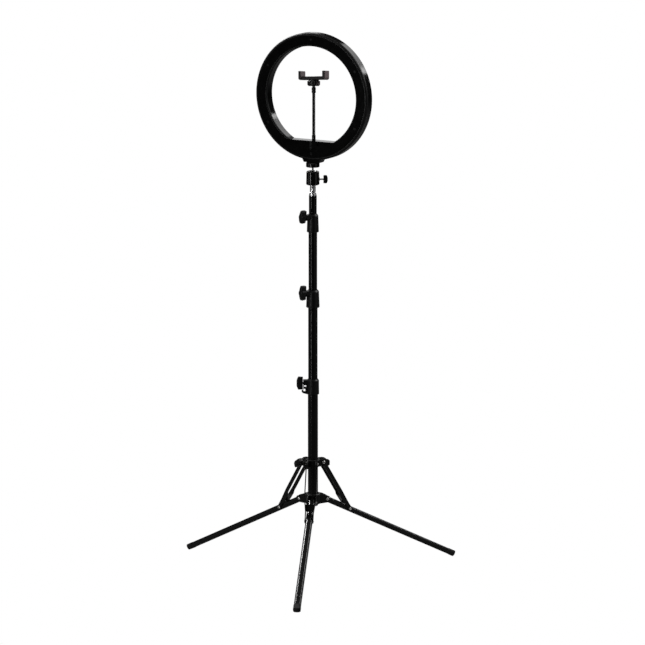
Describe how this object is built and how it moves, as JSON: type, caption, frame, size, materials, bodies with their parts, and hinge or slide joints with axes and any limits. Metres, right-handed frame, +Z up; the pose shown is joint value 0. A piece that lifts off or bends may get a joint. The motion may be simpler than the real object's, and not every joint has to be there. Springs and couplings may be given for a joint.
{
  "type": "ring light",
  "caption": "annular light panel with a phone clamp on a gooseneck inside it, on a ball head and a telescoping column with reverse-folding tripod legs",
  "frame": {"origin": "on the column's axis at floor level", "axes": "+Z up along the column; the lit side of the ring faces -Y; +X is to the right for a viewer who faces the lit side"},
  "size_m": [0.5242, 0.567, 1.1242],
  "materials": {
    "painted_tube": "black anodised, satin",
    "painted_steel": "black powder coat, semi-gloss",
    "moulded_black": "black nylon, fine moulded grain",
    "bright_screw": "bright zinc",
    "black_screw": "black oxide",
    "rivet": "bright nickel",
    "glide": "black acetal",
    "rubber": "matte",
    "chrome_stud": "polished",
    "anodised_head": "black anodised, satin",
    "gloss_housing": "black, gloss rims",
    "diffuser": "milky, satin",
    "board": "white solder mask",
    "light": "phosphor",
    "brass_insert": "turned",
    "socket_black": "black",
    "gooseneck": "black, ribbed",
    "holder_black": "black, satin"
  },
  "bodies": {
    "stand_base": {"base_tube": "painted_tube", "base_plug": "moulded_black", "base_collar": "moulded_black", "lower_spider": "moulded_black", "leg_pivot_rivets": "rivet"},
    "spider": {"upper_spider": "moulded_black"},
    "spider_knob": {"spider_knob": "moulded_black", "spider_knob_screw": "bright_screw"},
    "leg_a": {"leg_a": "painted_steel", "foot_cap_a": "rubber"},
    "leg_b": {"leg_b": "painted_steel", "foot_cap_b": "rubber"},
    "leg_c": {"leg_c": "painted_steel", "foot_cap_c": "rubber"},
    "strut_a": {"strut_a": "painted_steel", "strut_rivets_a": "rivet"},
    "strut_b": {"strut_b": "painted_steel", "strut_rivets_b": "rivet"},
    "strut_c": {"strut_c": "painted_steel", "strut_rivets_c": "rivet"},
    "lower_column": {"lower_tube": "painted_tube", "lower_glide": "glide", "lower_collar": "moulded_black"},
    "middle_column": {"middle_tube": "painted_tube", "middle_glide": "glide", "upper_collar": "moulded_black"},
    "top_column": {"top_tube": "painted_tube", "top_glide": "glide", "stud": "chrome_stud"},
    "base_knob": {"base_knob": "moulded_black", "base_knob_screw": "bright_screw"},
    "lower_knob": {"lower_knob": "moulded_black", "lower_knob_screw": "bright_screw"},
    "upper_knob": {"upper_knob": "moulded_black", "upper_knob_screw": "bright_screw"},
    "head": {"ball_housing": "anodised_head"},
    "ball_knob": {"ball_knob": "moulded_black", "ball_knob_screw": "black_screw"},
    "ball": {"ball_platform": "anodised_head", "platform_pad": "rubber", "camera_screw": "bright_screw"},
    "ring": {"ring_housing": "gloss_housing", "diffuser": "diffuser", "sill_cover": "gloss_housing", "light_board": "board", "lights": "light", "housing_screws": "black_screw", "mount_insert": "brass_insert", "power_socket": "socket_black", "gooseneck_root": "gooseneck"},
    "neck_low": {"gooseneck_low": "gooseneck"},
    "neck_mid": {"gooseneck_mid": "gooseneck"},
    "neck_tip": {"gooseneck_tip": "gooseneck"},
    "holder_ball": {"holder_ball": "holder_black"},
    "holder": {"holder_body": "holder_black", "fixed_jaw_pad": "rubber"},
    "lock_nut": {"lock_nut": "holder_black"},
    "jaw": {"sliding_jaw": "holder_black", "sliding_jaw_pad": "rubber"}
  },
  "joints": [
    {"name": "leg_a_fold", "type": "hinge", "parent": "stand_base", "child": "leg_a", "pos_m": [-0.01141, 0.02612, 0.154], "axis": [0.9164, 0.4003, 0], "range_deg": [0, 115]},
    {"name": "leg_b_fold", "type": "hinge", "parent": "stand_base", "child": "leg_b", "pos_m": [-0.01691, -0.02294, 0.154], "axis": [-0.8049, 0.5934, 0], "range_deg": [0, 115]},
    {"name": "leg_c_fold", "type": "hinge", "parent": "stand_base", "child": "leg_c", "pos_m": [0.02832, -0.00318, 0.154], "axis": [-0.1115, -0.9938, 0], "range_deg": [0, 115]},
    {"name": "strut_a_swing", "type": "hinge", "parent": "leg_a", "child": "strut_a", "pos_m": [-0.03251, 0.07441, 0.12748], "axis": [0.9164, 0.4003, 0], "range_deg": [-141, 0]},
    {"name": "strut_b_swing", "type": "hinge", "parent": "leg_b", "child": "strut_b", "pos_m": [-0.04819, -0.06536, 0.12748], "axis": [-0.8049, 0.5934, 0], "range_deg": [-141, 0]},
    {"name": "strut_c_swing", "type": "hinge", "parent": "leg_c", "child": "strut_c", "pos_m": [0.0807, -0.00905, 0.12748], "axis": [-0.1115, -0.9938, 0], "range_deg": [-141, 0]},
    {"name": "spider_slide", "type": "slide", "parent": "stand_base", "child": "spider", "axis": [0, 0, 1], "range_m": [0, 0.103]},
    {"name": "spider_knob_turn", "type": "hinge", "parent": "spider", "child": "spider_knob", "pos_m": [0.0178, 0.02415, 0.2346], "axis": [0.5934, 0.8049, 0], "range_deg": [-360, 0]},
    {"name": "lower_tube_slide", "type": "slide", "parent": "stand_base", "child": "lower_column", "axis": [0, 0, 1], "range_m": [-0.147, 0.04]},
    {"name": "middle_tube_slide", "type": "slide", "parent": "lower_column", "child": "middle_column", "axis": [0, 0, 1], "range_m": [-0.117, 0.075]},
    {"name": "top_tube_slide", "type": "slide", "parent": "middle_column", "child": "top_column", "axis": [0, 0, 1], "range_m": [-0.035, 0.165]},
    {"name": "base_knob_turn", "type": "hinge", "parent": "stand_base", "child": "base_knob", "pos_m": [0.02178, 0.01227, 0.4], "axis": [0.8712, 0.4909, 0], "range_deg": [-360, 0]},
    {"name": "lower_knob_turn", "type": "hinge", "parent": "lower_column", "child": "lower_knob", "pos_m": [0.00773, 0.02378, 0.592], "axis": [0.309, 0.9511, 0], "range_deg": [-360, 0]},
    {"name": "upper_knob_turn", "type": "hinge", "parent": "middle_column", "child": "upper_knob", "pos_m": [0.00773, 0.02378, 0.7495], "axis": [0.309, 0.9511, 0], "range_deg": [-360, 0]},
    {"name": "head_pan", "type": "hinge", "parent": "top_column", "child": "head", "pos_m": [0, 0, 0.813], "axis": [0, 0, 1], "continuous": true},
    {"name": "ball_knob_turn", "type": "hinge", "parent": "head", "child": "ball_knob", "pos_m": [-0.01829, -0.01031, 0.8244], "axis": [-0.8712, -0.4909, 0], "range_deg": [-360, 0]},
    {"name": "ball_tilt", "type": "hinge", "parent": "head", "child": "ball", "pos_m": [0, 0, 0.833], "axis": [1, 0, 0], "range_deg": [-30, 90]},
    {"name": "ring_twist", "type": "hinge", "parent": "ball", "child": "ring", "pos_m": [0, 0, 0.8595], "axis": [0, 0, 1], "continuous": true},
    {"name": "neck_bend_low", "type": "hinge", "parent": "ring", "child": "neck_low", "pos_m": [0, -0.004, 0.9365], "axis": [1, 0, 0], "range_deg": [-35, 35]},
    {"name": "neck_bend_side", "type": "hinge", "parent": "neck_low", "child": "neck_mid", "pos_m": [0, -0.004, 0.958], "axis": [0, 1, 0], "range_deg": [-35, 35]},
    {"name": "neck_bend_high", "type": "hinge", "parent": "neck_mid", "child": "neck_tip", "pos_m": [0, -0.004, 0.9795], "axis": [1, 0, 0], "range_deg": [-35, 35]},
    {"name": "holder_pan", "type": "hinge", "parent": "neck_tip", "child": "holder_ball", "pos_m": [0, -0.004, 1.0045], "axis": [0, 0, 1], "continuous": true},
    {"name": "holder_tilt", "type": "hinge", "parent": "holder_ball", "child": "holder", "pos_m": [0, -0.004, 1.0209], "axis": [0.8712, 0.4909, 0], "range_deg": [-27.5, 8.5]},
    {"name": "lock_nut_turn", "type": "hinge", "parent": "holder", "child": "lock_nut", "pos_m": [0, -0.004, 1.0209], "axis": [0.081, -0.1438, 0.9863], "range_deg": [-360, 0]},
    {"name": "jaw_slide", "type": "slide", "parent": "holder", "child": "jaw", "axis": [-0.9967, -0.0059, 0.081], "range_m": [0, 0.03], "stiffness_N_per_m": 120, "springref_m": -0.03}
  ],
  "couplings": [
    {"joint": "leg_b_fold", "follows": "leg_a_fold", "ratio": 1},
    {"joint": "leg_c_fold", "follows": "leg_a_fold", "ratio": 1},
    {"joint": "strut_a_swing", "follows": "leg_a_fold", "ratio": -1.2188},
    {"joint": "strut_b_swing", "follows": "leg_a_fold", "ratio": -1.2188},
    {"joint": "strut_c_swing", "follows": "leg_a_fold", "ratio": -1.2188},
    {"joint": "spider_slide", "follows": "leg_a_fold", "m_per_rad": 0.050655},
    {"joint": "neck_bend_high", "follows": "neck_bend_low", "ratio": 1}
  ]
}
